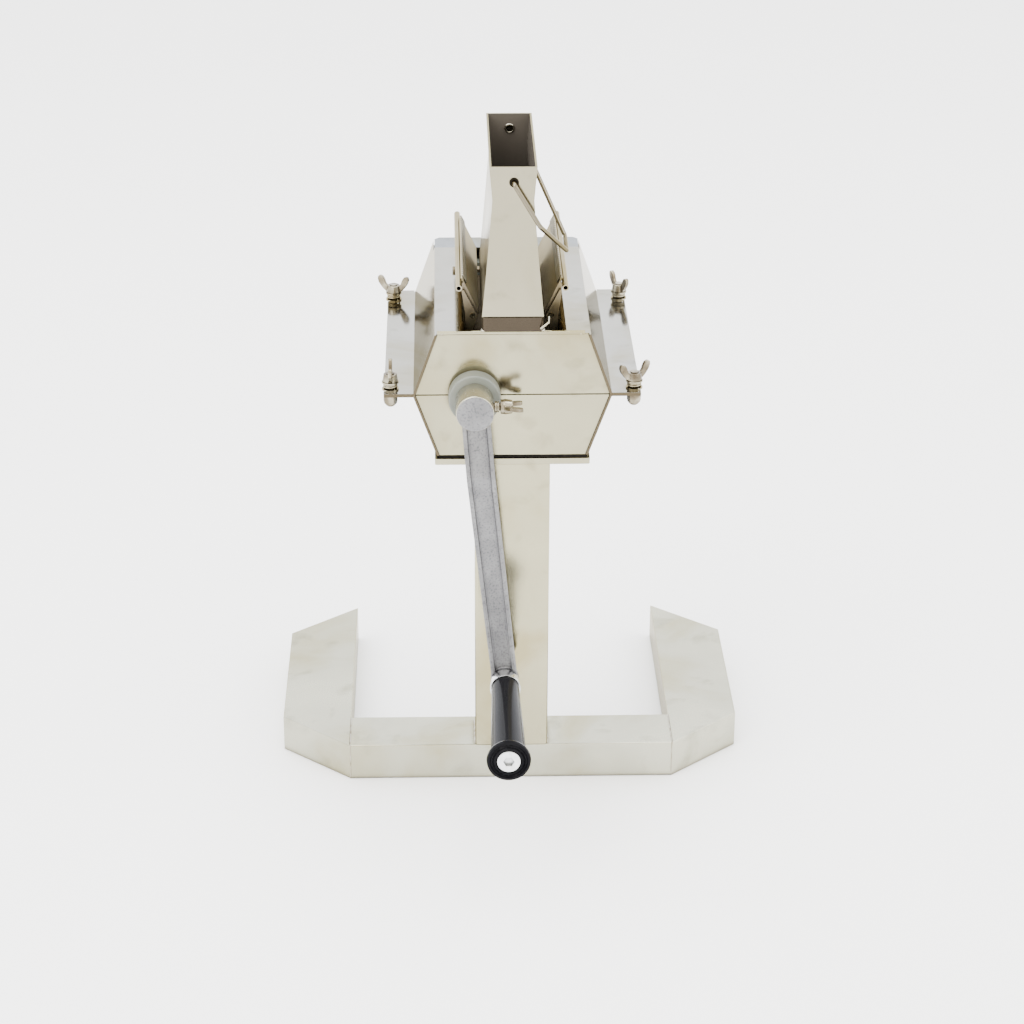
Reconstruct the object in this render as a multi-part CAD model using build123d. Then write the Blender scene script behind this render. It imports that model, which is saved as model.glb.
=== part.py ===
from build123d import *
import os
from math import acos, cos, hypot, pi, radians, sin, tan

# Hand-cranked twin-roller honeycomb press on a column stand, in millimetres.
# +Z is up and the crank side faces -Y.  The origin is the centre of the front
# bar's underside, where the stand meets the table.

os.makedirs("parts", exist_ok=True)

# ---- driving dimensions -------------------------------------------------
SHEET = 2.0                    # wall of tubes and housing sheets
THIN = 1.5                     # wall of hopper, collar and flanges

BAR_HALF, BAR_DEPTH, BASE_H = 134.5, 48.0, 31.5
FOOT_OUT, FOOT_FRONT, FOOT_REAR, FOOT_END = 192.6, 50.4, 201.7, 250.3

COLUMN_HALF, COLUMN_DEPTH, COLUMN_TOP = 30.0, 40.0, 288.0
PLATE_HALF, PLATE_DEPTH, PLATE_T = 61.5, 95.0, 5.0
GASKET_T = 3.0
BOLT_X, BOLT_DEPTHS = 47.0, (12.0, 83.0)

HOUSE_DEPTH = 226.0
HOUSE_BOTTOM, PARTING, HOUSE_TOP = 296.0, 347.7, 398.4
HALF_BOTTOM, HALF_PARTING, HALF_TOP = 59.9, 78.5, 60.8
FLANGE_HALF, FLANGE_DEPTH = 100.9, 229.5
SLOT_HALF, SLOT_ROLL = 42.0, 5.0
SLOT_REAR = 201.0              # depth where the rear cross strip begins
STUD_X, STUD_DEPTHS = 96.0, (10.0, 208.0)
END_FIT, SEAM = 0.15, 0.45     # gaps of the end sheets at the side sheets and at the parting line

ROLLER_R, ROLLER_X, FLUTES, FLUTE_R = 29.0, 30.0, 18, 1.8
ROLLER_FRONT, ROLLER_REAR = 16.0, 194.0
SHAFT_R, RUNNING = 10.0, 0.05
GEAR_MODULE, GEAR_TEETH, BACKLASH = 3.0, 20, 0.5
GEAR_FRONT, GEAR_REAR = 208.0, 219.0

COLLAR_HALF, COLLAR_REAR, COLLAR_BOTTOM, COLLAR_TOP = 24.0, 143.3, 401.0, 412.4
HOPPER_FRONT, HOPPER_REAR = 1.5, 141.5
HOPPER_WIDTHS = ((413.0, 24.0), (437.0, 21.7), (471.0, 18.8), (507.0, 16.0), (533.5, 18.3))
PIVOT_X, PIVOT_Z = 0.5, 521.5
BAIL_R, BAIL_TILT, BAIL_BEND = 1.8, 30.5, 4.0

GUIDE_FRONT, GUIDE_REAR, GUIDE_SLANT, GUIDE_LEAN = 40.0, 185.0, 30.5, 25.0
GUIDE_X, GUIDE_Z, GUIDE_PIN_R = 31.0, 401.0, 2.15
TEETH, TOOTH_W, TOOTH_H = 31, 2.6, 3.6

HUB_R, BUSH_R, BUSH_DEPTH, HUB_END = 14.9, 20.5, 10.5, 38.5
KINK_X, KINK_Z = -25.5, 292.0
GRIP_X, GRIP_Z = -6.4, 111.6
GRIP_START, GRIP_END = 38.0, 164.0

FRONT_Y = -BAR_DEPTH / 2       # front face of bar, column and housing
CRANK_X = -ROLLER_X
AXIS_Z = PARTING


# ---- helpers ------------------------------------------------------------
def depth(value):
    """Y of a point that lies value behind the front face (negative: in front of it)."""
    return FRONT_Y + value


def block(x0, x1, y0, y1, z0, z1):
    """Box between two opposite corners."""
    return Pos((x0 + x1) / 2, (y0 + y1) / 2, (z0 + z1) / 2) * Box(x1 - x0, y1 - y0, z1 - z0)


def rod(start, end, radius):
    """Round bar from one point to another."""
    axis = Vector(*end) - Vector(*start)
    place = Plane(origin=start, z_dir=axis)
    return place * Cylinder(radius, axis.length, align=(Align.CENTER, Align.CENTER, Align.MIN))


def disc(x, z, radius, d0, d1):
    """Round bar along Y between two depths."""
    return rod((x, depth(d0), z), (x, depth(d1), z), radius)


def plate_xz(points, d0, d1):
    """Prism along Y whose outline lies in the XZ plane."""
    outline = Polygon(*points, align=None)
    return extrude(Plane.XZ.offset(-depth(d0)) * outline, amount=d1 - d0, dir=(0, 1, 0))


def plate_yz(points, x0, x1):
    """Prism along X whose outline lies in the YZ plane."""
    outline = Polygon(*points, align=None)
    return extrude(Plane.YZ.offset(x0) * outline, amount=x1 - x0, dir=(1, 0, 0))


def plate_xy(points, z0, z1):
    """Prism along Z whose outline lies in the XY plane."""
    outline = Polygon(*points, align=None)
    return extrude(Plane.XY.offset(z0) * outline, amount=z1 - z0, dir=(0, 0, 1))


def flip(shape):
    """Mirror image across the YZ plane, for the piece on the other side."""
    return mirror(shape, about=Plane.YZ)


def group(shapes):
    """Several separate solids in one node."""
    return Compound(children=[solid for shape in shapes for solid in shape.solids()])


def save(name, shape):
    """Write one node."""
    export_step(shape, f"parts/{name}.step")


def flank(z, inset=0.0):
    """Half-width of the housing at a height, less an inset."""
    if z <= PARTING:
        part = (z - HOUSE_BOTTOM) / (PARTING - HOUSE_BOTTOM)
        return HALF_BOTTOM + (HALF_PARTING - HALF_BOTTOM) * part - inset
    part = (z - PARTING) / (HOUSE_TOP - PARTING)
    return HALF_PARTING + (HALF_TOP - HALF_PARTING) * part - inset


# ---- stand --------------------------------------------------------------
def tube_bar():
    """Front bar of the stand: rectangular tube lying along X."""
    outer = block(-BAR_HALF, BAR_HALF, depth(0), depth(BAR_DEPTH), 0, BASE_H)
    inner = block(-BAR_HALF, BAR_HALF, depth(SHEET), depth(BAR_DEPTH - SHEET), SHEET, BASE_H - SHEET)
    return fillet(outer.edges().filter_by(Axis.X), 1.2) - inner


def outrigger():
    """Right foot: folded sheet box with cut corners, closed all round."""
    outline = [
        (BAR_HALF, depth(0)), (FOOT_OUT, depth(FOOT_FRONT)), (FOOT_OUT, depth(FOOT_REAR)),
        (BAR_HALF, depth(FOOT_END)),
    ]
    outer = plate_xy(outline, 0, BASE_H)
    outer = fillet(outer.edges().group_by(Axis.Z)[-1], 1.2)
    core = offset(Polygon(*outline, align=None), amount=-SHEET, kind=Kind.INTERSECTION)
    inner = extrude(Plane.XY.offset(SHEET) * core, amount=BASE_H - 2 * SHEET)
    return outer - inner


def column():
    """Square-edged tube that stands on the front bar."""
    outer = block(-COLUMN_HALF, COLUMN_HALF, depth(0), depth(COLUMN_DEPTH), BASE_H, COLUMN_TOP)
    outer = fillet(outer.edges().filter_by(Axis.Z), 2.5)
    inner = block(-COLUMN_HALF + SHEET, COLUMN_HALF - SHEET, depth(SHEET), depth(COLUMN_DEPTH - SHEET),
                  BASE_H, COLUMN_TOP)
    return outer - inner


def bolt_places():
    """Centres of the four bolts that clamp the housing to the mounting plate."""
    return [(side * BOLT_X, depth(d)) for side in (-1, 1) for d in BOLT_DEPTHS]


BOLT_R, BOLT_HOLE_R = 3.0, 3.3


def drilled(shape, places, radius, z0, z1):
    """Shape with vertical holes through it."""
    for x, y in places:
        shape = shape - rod((x, y, z0 - 1), (x, y, z1 + 1), radius)
    return shape


def mounting_plate():
    """Flat bar welded on top of the column."""
    top = COLUMN_TOP + PLATE_T
    shape = block(-PLATE_HALF, PLATE_HALF, depth(0), depth(PLATE_DEPTH), COLUMN_TOP, top)
    shape = fillet(shape.edges().filter_by(Axis.Z), 2.0)
    return drilled(shape, bolt_places(), BOLT_HOLE_R, COLUMN_TOP, top)


def gasket():
    """Thin pad between mounting plate and housing."""
    z0 = COLUMN_TOP + PLATE_T
    shape = block(-PLATE_HALF + 3, PLATE_HALF - 3, depth(2), depth(PLATE_DEPTH - 2), z0, z0 + GASKET_T)
    return drilled(shape, bolt_places(), BOLT_HOLE_R, z0, z0 + GASKET_T)


def dome(x, y, z_flat, radius, height, down=True):
    """Low rounded bolt head whose flat side is at z_flat."""
    ball = (radius ** 2 + height ** 2) / (2 * height)
    sign = -1 if down else 1
    centre = z_flat + sign * (height - ball)
    cap = Pos(x, y, centre) * Sphere(ball)
    far = z_flat + sign * height * 2
    return cap & block(x - radius, x + radius, y - radius, y + radius, min(z_flat, far), max(z_flat, far))


def mounting_bolts():
    """Dome-headed bolts, heads under the mounting plate."""
    bolts = []
    for x, y in bolt_places():
        shank = rod((x, y, COLUMN_TOP - 0.5), (x, y, HOUSE_BOTTOM + SHEET + 7), BOLT_R)
        bolts.append(shank + dome(x, y, COLUMN_TOP, 6.0, 3.6))
    return group(bolts)


def mounting_nuts():
    """Hexagon nuts on the housing floor."""
    z0 = HOUSE_BOTTOM + SHEET
    nuts = []
    for x, y in bolt_places():
        hexagon = Plane.XY.offset(z0) * Pos(x, y) * RegularPolygon(5.0, 6, major_radius=False)
        blank = extrude(hexagon, amount=5)
        nuts.append(blank - rod((x, y, z0 - 1), (x, y, z0 + 6), BOLT_R))
    return group(nuts)


# ---- housing ------------------------------------------------------------
def stud_places():
    """Centres of the four clamp studs at the flange corners."""
    return [(side * STUD_X, depth(d)) for side in (-1, 1) for d in STUD_DEPTHS]


def lower_shell():
    """Right lower side sheet: sloped flank with a flange folded outward."""
    top = PARTING - THIN
    profile = [
        (flank(HOUSE_BOTTOM), HOUSE_BOTTOM), (flank(top), top), (FLANGE_HALF, top),
        (FLANGE_HALF, PARTING), (flank(PARTING, SHEET), PARTING), (flank(HOUSE_BOTTOM, SHEET), HOUSE_BOTTOM),
    ]
    shape = plate_xz(profile, 0, HOUSE_DEPTH)
    ledge = block(HALF_PARTING, FLANGE_HALF, depth(HOUSE_DEPTH), depth(FLANGE_DEPTH), top, PARTING)
    return drilled(shape + ledge, stud_places(), BOLT_HOLE_R, top, PARTING)


def upper_shell():
    """Right upper side sheet: flange, sloped flank, top strip and rolled slot edge."""
    ledge_top = PARTING + THIN
    under = HOUSE_TOP - THIN
    profile = [
        (FLANGE_HALF, PARTING), (FLANGE_HALF, ledge_top), (flank(ledge_top), ledge_top),
        (HALF_TOP, HOUSE_TOP), (SLOT_HALF, HOUSE_TOP), (SLOT_HALF, under),
        (flank(under, SHEET), under), (flank(PARTING, SHEET), PARTING),
    ]
    shape = plate_xz(profile, 0, HOUSE_DEPTH)
    ring = Circle(SLOT_ROLL) - Circle(SLOT_ROLL - THIN)
    quarter = ring & Pos(-SLOT_ROLL / 2, SLOT_ROLL / 2) * Rectangle(SLOT_ROLL, SLOT_ROLL)
    roll = Pos(SLOT_HALF, 0, HOUSE_TOP - SLOT_ROLL) * (Plane.XZ.offset(-depth(0)) * quarter)
    shape = shape + extrude(roll, amount=-HOUSE_DEPTH)
    rear = depth(HOUSE_DEPTH)
    shape = shape + block(HALF_PARTING, FLANGE_HALF, rear, depth(FLANGE_DEPTH), PARTING, ledge_top)
    low, high = under - SLOT_ROLL, HOUSE_TOP + 1
    shape = shape - block(0, HALF_TOP + 1, depth(SLOT_REAR), depth(HOUSE_DEPTH) + 1, low, high)
    shape = shape - block(0, flank(under, SHEET), depth(-1), depth(1 + SHEET) + END_FIT, low, high)
    return drilled(shape, stud_places(), BOLT_HOLE_R, PARTING, ledge_top)


def end_plate(z0, z1, d0):
    """Flat end sheet between the flanks, cut away round the shafts."""
    low = flank(z0, SHEET + END_FIT)
    high = flank(z1, SHEET + END_FIT)
    return plate_xz([(-low, z0), (low, z0), (high, z1), (-high, z1)], d0, d0 + SHEET)


SPIGOT_R = 13.0                # bush spigot through the front sheets


def front_plate(z0, z1):
    """Front end sheet with half of the bush hole at its parting edge."""
    return end_plate(z0, z1, 1.0) - disc(CRANK_X, AXIS_Z, SPIGOT_R + 0.2, 0, 4)


def lower_floor():
    """Floor sheet with the outlet behind the column."""
    half = flank(HOUSE_BOTTOM, SHEET + 0.4)
    shape = block(-half, half, depth(3.2), depth(HOUSE_DEPTH - 3.2), HOUSE_BOTTOM, HOUSE_BOTTOM + SHEET)
    outlet = block(-38, 38, depth(104), depth(190), HOUSE_BOTTOM - 1, HOUSE_BOTTOM + SHEET + 1)
    return drilled(shape - fillet(outlet.edges().filter_by(Axis.Z), 12), bolt_places(), BOLT_HOLE_R,
                   HOUSE_BOTTOM, HOUSE_BOTTOM + SHEET)


def rear_cross_strip():
    """Strip that closes the top behind the slot, with cut outer corners."""
    cut = 4.0
    outline = [
        (-HALF_TOP, depth(SLOT_REAR)), (HALF_TOP, depth(SLOT_REAR)), (HALF_TOP, depth(HOUSE_DEPTH) - cut),
        (HALF_TOP - cut, depth(HOUSE_DEPTH)), (cut - HALF_TOP, depth(HOUSE_DEPTH)),
        (-HALF_TOP, depth(HOUSE_DEPTH) - cut),
    ]
    return plate_xy(outline, HOUSE_TOP - THIN, HOUSE_TOP)


def front_lip():
    """Bar along the front top edge that carries the collar."""
    shape = block(-59, 56, depth(0), depth(3), HOUSE_TOP, COLLAR_BOTTOM)
    return fillet(shape.edges().filter_by(Axis.X), 0.8)


def collar_cross_bar():
    """Bar across the slot that carries the collar's rear wall."""
    shape = block(-46, 46, depth(COLLAR_REAR - 3), depth(COLLAR_REAR + 4), HOUSE_TOP, COLLAR_BOTTOM)
    return fillet(shape.edges().filter_by(Axis.Z), 1.0)


def collar():
    """Rectangular socket that holds the hopper."""
    def column_of(inset, z0, z1):
        half = COLLAR_HALF - inset
        body = block(-half, half, depth(0.3 + inset), depth(COLLAR_REAR - inset), z0, z1)
        return fillet(body.edges().filter_by(Axis.Z), 3.0 - inset)
    return column_of(0, COLLAR_BOTTOM, COLLAR_TOP) - column_of(THIN, COLLAR_BOTTOM - 1, COLLAR_TOP + 1)


def hopper_clip():
    """Short bent wire that hooks the hopper to its collar at the front right corner."""
    path = ((28.0, 5.0, 411.0), (27.5, -1.6, 409.0), (21.5, -1.6, 404.0))
    points = [(x, depth(d), z) for x, d, z in path]
    arm = rod(points[0], points[1], 0.9) + rod(points[1], points[2], 0.9)
    return arm + Pos(*points[1]) * Sphere(0.9)


def clamp_bolts():
    """Studs through the flange corners with round caps underneath."""
    bolts = []
    for x, y in stud_places():
        shank = rod((x, y, PARTING - THIN - 1), (x, y, NUT_Z + NUT_BODY + 0.8), BOLT_R)
        neck = rod((x, y, CAP_Z), (x, y, PARTING - THIN), 5.6)
        edge = rod((x, y, CAP_Z - 1.5), (x, y, CAP_Z + 0.2), 5.2)
        bolts.append(shank + neck + dome(x, y, CAP_Z, 5.2, 5.0) + edge)
    return group(bolts)


def stack(z0, z1, radius):
    """One sleeve round each stud."""
    sleeves = []
    for x, y in stud_places():
        sleeves.append(rod((x, y, z0), (x, y, z1), radius) - rod((x, y, z0 - 1), (x, y, z1 + 1), BOLT_HOLE_R))
    return group(sleeves)


WASHER_T, SPRING_L = 1.2, 4.6
WASHER_Z = PARTING + THIN
SPRING_Z = WASHER_Z + WASHER_T
NUT_Z = SPRING_Z + SPRING_L + WASHER_T
NUT_BODY, WING_T = 6.2, 3.0       # height of a wing nut's round body, thickness of its wings
CAP_Z = 339.5                     # where the stud cap's neck meets its dome


def clamp_washers():
    """Flat washers under and over each clamp spring."""
    low = stack(WASHER_Z, SPRING_Z, 6.6)
    high = stack(SPRING_Z + SPRING_L, NUT_Z, 6.6)
    return group([low, high])


def wing_nut(x, y, z, turn, bore=BOLT_R + 0.05):
    """Wing nut with its base at z and its wings turned from the X axis."""
    body = Cone(6.2, 5.2, NUT_BODY, align=(Align.CENTER, Align.CENTER, Align.MIN))
    wing = [
        (3.2, 0.6), (6.8, 0.8), (9.6, 3.6), (12.6, 7.8), (13.7, 11.0), (13.4, 13.4), (11.8, 14.4),
        (9.2, 13.6), (7.6, 11.0), (6.4, 7.4), (5.0, 5.8), (3.2, 5.2),
    ]
    blade = extrude(Plane.XZ.offset(-WING_T / 2) * Polygon(*wing, align=None), amount=WING_T)
    blade = fillet(blade.edges().filter_by(Axis.Y), 0.9)
    shape = body + blade + blade.rotate(Axis.Z, 180)
    shape = shape - Cylinder(bore, 40)
    return Pos(x, y, z) * Rot(0, 0, turn) * shape


# ---- rollers and drive --------------------------------------------------
def bearing_plate(d0):
    """Plastic end block that carries both shafts, shaped to the housing."""
    z0, z1 = HOUSE_BOTTOM + 12, HOUSE_TOP - 12
    inset = SHEET + 0.5
    points = [(flank(z, inset), z) for z in (z0, PARTING, z1)]
    outline = points + [(-x, z) for x, z in reversed(points)]
    shape = plate_xz(outline, d0, d0 + 10)
    for x in (-ROLLER_X, ROLLER_X):
        shape = shape - disc(x, AXIS_Z, SHAFT_R + RUNNING, d0 - 1, d0 + 11)
    return shape


def roller(x):
    """Sleeve with round flutes along it, fixed on its shaft."""
    shape = disc(x, AXIS_Z, ROLLER_R, ROLLER_FRONT, ROLLER_REAR)
    shape = shape - disc(x, AXIS_Z, SHAFT_R, ROLLER_FRONT - 1, ROLLER_REAR + 1)
    for index in range(FLUTES):
        angle = 2 * pi * (index + 0.5) / FLUTES
        fx, fz = x + ROLLER_R * cos(angle), AXIS_Z + ROLLER_R * sin(angle)
        shape = shape - disc(fx, fz, FLUTE_R, ROLLER_FRONT - 1, ROLLER_REAR + 1)
    return shape


def gear(x, phase):
    """Spur gear with involute teeth, turned by phase degrees."""
    pitch_r = GEAR_MODULE * GEAR_TEETH / 2
    base_r = pitch_r * cos(radians(20))
    tip_r, root_r = pitch_r + 0.92 * GEAR_MODULE, pitch_r - 1.25 * GEAR_MODULE
    half_tooth = (pi * GEAR_MODULE / 2 - BACKLASH) / (2 * pitch_r)

    def roll(radius):
        """Involute polar angle at a radius."""
        alpha = acos(min(1.0, base_r / radius))
        return tan(alpha) - alpha

    flank_radii = [base_r + (tip_r - base_r) * step / 5 for step in range(6)]
    offsets = [(root_r, half_tooth + roll(pitch_r) + 0.01)]
    offsets += [(r, half_tooth + roll(pitch_r) - roll(r)) for r in flank_radii]
    points = []
    for tooth in range(GEAR_TEETH):
        middle = radians(phase) + 2 * pi * tooth / GEAR_TEETH
        for r, half in offsets:
            points.append((x + r * cos(middle - half), AXIS_Z + r * sin(middle - half)))
        for r, half in reversed(offsets):
            points.append((x + r * cos(middle + half), AXIS_Z + r * sin(middle + half)))
    blank = plate_xz(points, GEAR_FRONT, GEAR_REAR)
    return blank - disc(x, AXIS_Z, SHAFT_R, GEAR_FRONT - 1, GEAR_REAR + 1)


def shaft(x, d0):
    """Round shaft to just inside the rear sheet."""
    return disc(x, AXIS_Z, SHAFT_R, d0, 221.5)


def retaining_ring(x):
    """Ring that keeps a gear on its shaft."""
    ring = disc(x, AXIS_Z, SHAFT_R + 3, GEAR_REAR, GEAR_REAR + 1.5)
    return ring - disc(x, AXIS_Z, SHAFT_R, GEAR_REAR - 1, GEAR_REAR + 3)


def bush():
    """Flanged plastic bush where the crank shaft leaves the housing."""
    shape = disc(CRANK_X, AXIS_Z, BUSH_R, -BUSH_DEPTH, 1.0) + disc(CRANK_X, AXIS_Z, SPIGOT_R, 1.0, 3.8)
    shape = shape - disc(CRANK_X, AXIS_Z, SHAFT_R + RUNNING, -BUSH_DEPTH - 1, 5)
    rim = shape.edges().filter_by(GeomType.CIRCLE).group_by(Axis.Y)[0].sort_by(SortBy.RADIUS)[-1]
    return fillet(rim, 1.5)


def scraper():
    """Strip below the right roller that wipes wax off it."""
    angle = radians(-70)
    tip = (ROLLER_X + (ROLLER_R + 0.6) * cos(angle), AXIS_Z + (ROLLER_R + 0.6) * sin(angle))
    foot = (tip[0] + 9.0, tip[1] - 11.0)
    width = 1.6
    outline = [tip, (tip[0] + width, tip[1]), (foot[0] + width, foot[1]), foot]
    return plate_xz(outline, 14.7, 195.8)


# ---- crank --------------------------------------------------------------
ARM_T, ARM_TOP_HALF, ARM_LOW_HALF, RIB, WEB = 11.0, 11.2, 10.3, 3.4, 3.6


def arm_outline(inset):
    """Outline of the crank arm in XZ, kinked once, narrowed by an inset."""
    hub, kink, end = (CRANK_X, AXIS_Z), (KINK_X, KINK_Z), (GRIP_X, GRIP_Z)

    def normal(a, b):
        length = hypot(b[0] - a[0], b[1] - a[1])
        return ((a[1] - b[1]) / length, (b[0] - a[0]) / length)

    first, second = normal(hub, kink), normal(kink, end)
    middle = ((first[0] + second[0]) / 2, (first[1] + second[1]) / 2)
    stations = [(hub, first, ARM_TOP_HALF), (kink, middle, ARM_TOP_HALF), (end, second, ARM_LOW_HALF)]
    left = [(p[0] - n[0] * (h - inset), p[1] - n[1] * (h - inset)) for p, n, h in stations]
    right = [(p[0] + n[0] * (h - inset), p[1] + n[1] * (h - inset)) for p, n, h in stations]
    return left + right[::-1]


def arm_side(trim):
    """Arm seen from the side: it steps forward down to the kink, then runs straight."""
    front = [(-28.0, AXIS_Z), (-GRIP_START, KINK_Z), (-GRIP_START, GRIP_Z - 12)]
    rear = [(d + ARM_T, z) for d, z in reversed(front)]
    outline = [(depth(d + trim), z) for d, z in front] + [(depth(d - trim), z) for d, z in rear]
    return plate_yz(outline, -60, 40)


def crank_arm():
    """Cast arm of H section with a hub for the shaft and a boss for the grip bolt."""
    whole = plate_xz(arm_outline(0), -60, 0) & arm_side(0)
    pockets = plate_xz(arm_outline(RIB), -60, 0) & (arm_side(-1) - arm_side((ARM_T - WEB) / 2))
    hub = disc(CRANK_X, AXIS_Z, HUB_R, -HUB_END, -BUSH_DEPTH - 0.3)
    rim = hub.edges().filter_by(GeomType.CIRCLE).sort_by(Axis.Y)[0]
    hub = fillet(rim, 1.0)
    boss = disc(GRIP_X, GRIP_Z, 11.4, -GRIP_START, -GRIP_START + ARM_T)
    shape = (whole - pockets) + hub + boss
    shape = shape - disc(CRANK_X, AXIS_Z, SHAFT_R, -HUB_END + 3.5, 0)
    shape = shape - disc(GRIP_X, GRIP_Z, GRIP_BOLT_R, -60, 0)
    screw_y = depth(HUB_SCREW_D)
    return shape - rod((CRANK_X + SHAFT_R - 1, screw_y, AXIS_Z), (0, screw_y, AXIS_Z), BOLT_R + RUNNING)


GRIP_BOLT_R, HUB_SCREW_D = 4.0, -23.0
HUB_SCREW_HEAD, HUB_SCREW_TURN = -7.0, 81.0     # X where the screw's wing nut begins, its turn
RING_T, FLANGE_T, POCKET = 11.0, 5.0, 4.0


def crank_shaft():
    """Shaft from the hub through the left roller to its gear."""
    return shaft(CRANK_X, -HUB_END + 3.6)


def grip_bolt():
    """Shouldered bolt the grip turns on, with a socket in its wide head."""
    shank = disc(GRIP_X, GRIP_Z, GRIP_BOLT_R, -GRIP_END + POCKET, -GRIP_START + ARM_T)
    head = disc(GRIP_X, GRIP_Z, 9.3, -GRIP_END + 0.2, -GRIP_END + POCKET)
    rim = head.edges().filter_by(GeomType.CIRCLE).sort_by(Axis.Y)[0]
    socket = extrude(Plane.XZ.offset(-depth(-GRIP_END)) * Pos(GRIP_X, GRIP_Z)
                     * RegularPolygon(3.8, 6, major_radius=False), amount=-3.2)
    return shank + fillet(rim, 1.0) - socket


def grip_ring():
    """Bright ferrule between arm and grip, with a lip beside the grip."""
    front = -GRIP_START - RING_T
    shape = disc(GRIP_X, GRIP_Z, 11.7, front, -GRIP_START) + disc(GRIP_X, GRIP_Z, 12.3, front, front + 3.0)
    return shape - disc(GRIP_X, GRIP_Z, GRIP_BOLT_R, front - 1, -GRIP_START + 1)


def grip():
    """Turned plastic grip that widens to a ridged end flange."""
    start, end = GRIP_START + RING_T + 0.3, GRIP_END
    bore, seat = GRIP_BOLT_R + 0.08, 9.7
    profile = [
        (bore, start), (11.0, start), (11.3, start + 1), (11.6, start + 20), (12.6, start + 55),
        (13.85, end - FLANGE_T - 6), (14.4, end - FLANGE_T - 1), (16.8, end - FLANGE_T), (17.2, end - 3.5),
        (16.8, end - 1.2), (15.0, end - 0.4), (14.2, end - 1.2), (13.2, end - 0.3), (12.2, end - 1.2),
        (11.2, end), (seat, end), (seat, end - POCKET - 0.1), (bore, end - POCKET - 0.1),
    ]
    outline = Polygon(*[(r, d) for r, d in profile], align=None)
    # local X is the radius, local Y runs forward along the grip
    place = Plane(origin=(GRIP_X, FRONT_Y, GRIP_Z), x_dir=(1, 0, 0), z_dir=(0, 0, 1))
    half_section = mirror(place * outline, about=Plane.XZ.offset(-FRONT_Y))
    return revolve(half_section, axis=Axis((GRIP_X, FRONT_Y, GRIP_Z), (0, 1, 0)))


def hub_wing_screw():
    """Wing screw that clamps the crank on its shaft; its axis lies along X."""
    place = Pos(0, depth(HUB_SCREW_D), AXIS_Z)
    start, head = CRANK_X + SHAFT_R + 0.1, HUB_SCREW_HEAD
    shank = rod((start, 0, 0), (head + NUT_BODY + 0.4, 0, 0), BOLT_R)
    washers = [rod((head + x, 0, 0), (head + x + 1.2, 0, 0), 5.7) for x in (-3.0, -1.2)]
    nut = Rot(0, 90, 0) * wing_nut(0, 0, 0, HUB_SCREW_TURN, bore=0.5)
    return place * (shank + washers[0] + washers[1] + Pos(head, 0, 0) * nut)


# ---- hopper and bail ----------------------------------------------------
def hopper_outline(inset, rise=0.0):
    """Hopper outline in XZ between its foot and its mouth, narrowed by an inset."""
    right = [(half - inset, z) for z, half in HOPPER_WIDTHS]
    right[0] = (right[0][0], right[0][1] - rise)
    right[-1] = (right[-1][0], right[-1][1] + rise)
    return right + [(-x, z) for x, z in reversed(right)]


def hopper():
    """Open sheet-metal feed chute with a spigot that drops into the collar."""
    foot = HOPPER_WIDTHS[0][0]
    outer = plate_xz(hopper_outline(0), HOPPER_FRONT, HOPPER_REAR)
    inner = plate_xz(hopper_outline(THIN, 1), HOPPER_FRONT + THIN, HOPPER_REAR - THIN)
    half = COLLAR_HALF - THIN - 0.3
    spigot = block(-half, half, depth(2.1), depth(HOPPER_REAR), COLLAR_BOTTOM + 1.5, foot + 0.5)
    spigot = fillet(spigot.edges().filter_by(Axis.Z), 1.4)
    bore = half - THIN
    throat = block(-bore, bore, depth(2.1 + THIN), depth(HOPPER_REAR - THIN), COLLAR_BOTTOM, foot + 2)
    shoulder = block(-COLLAR_HALF, COLLAR_HALF, depth(HOPPER_FRONT), depth(HOPPER_REAR), foot - 0.5, foot + 1)
    shape = (outer - inner) + shoulder + spigot - throat
    for d in (HOPPER_FRONT, HOPPER_REAR - THIN):
        shape = shape - disc(PIVOT_X, PIVOT_Z, EYELET_R, d - 1, d + THIN + 1)
    return shape


EYELET_R, EYELET_FLANGE = 2.8, 3.7


def pivot_eyelets():
    """Eyelets in the hopper's front and rear walls that carry the bail."""
    rings = []
    for wall, outside in ((HOPPER_FRONT, HOPPER_FRONT - 0.8), (HOPPER_REAR - THIN, HOPPER_REAR)):
        ring = disc(PIVOT_X, PIVOT_Z, EYELET_R, wall, wall + THIN)
        ring = ring + disc(PIVOT_X, PIVOT_Z, EYELET_FLANGE, outside, outside + 0.8)
        rings.append(ring - disc(PIVOT_X, PIVOT_Z, BAIL_R + RUNNING, wall - 3, wall + THIN + 3))
    return group(rings)


def bail():
    """Wire bail: two pivots, straight legs, then sides that close to a rounded end."""
    tilt = radians(BAIL_TILT)
    front, rear = HOPPER_FRONT - 5.5, HOPPER_REAR + 4.5
    middle = (front + rear) / 2
    stations = [
        (0, HOPPER_FRONT + 4), (0, front), (39, front), (85, middle - 18), (85, middle + 18),
        (39, rear), (0, rear), (0, HOPPER_REAR - 4),
    ]
    points = [(PIVOT_X + s * sin(tilt), depth(d), PIVOT_Z - s * cos(tilt)) for s, d in stations]
    path = FilletPolyline(*points, radius=BAIL_BEND)
    return sweep(Plane(origin=path @ 0, z_dir=path % 0) * Circle(BAIL_R), path=path)


# ---- comb guides --------------------------------------------------------
def guide_point(along, out):
    """XZ point on the right guide: distance up the plate and distance outward from it."""
    lean = radians(GUIDE_LEAN)
    foot_x, foot_z = GUIDE_X - 4.5, GUIDE_Z + 2.0
    return (foot_x + along * sin(lean) + out * cos(lean), foot_z + along * cos(lean) - out * sin(lean))


def guide_strip(low, high, inner, outer, d0, d1):
    """Strip parallel to the right guide plate."""
    corners = [guide_point(*corner) for corner in ((low, inner), (low, outer), (high, outer), (high, inner))]
    return plate_xz(corners, d0, d1)


HALF_T = THIN / 2
COMB_T, ROD_R, ROD_DROP, ROD_FRONT, ROD_REAR = 1.2, 2.5, 1.5, 24.0, 201.0


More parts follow.
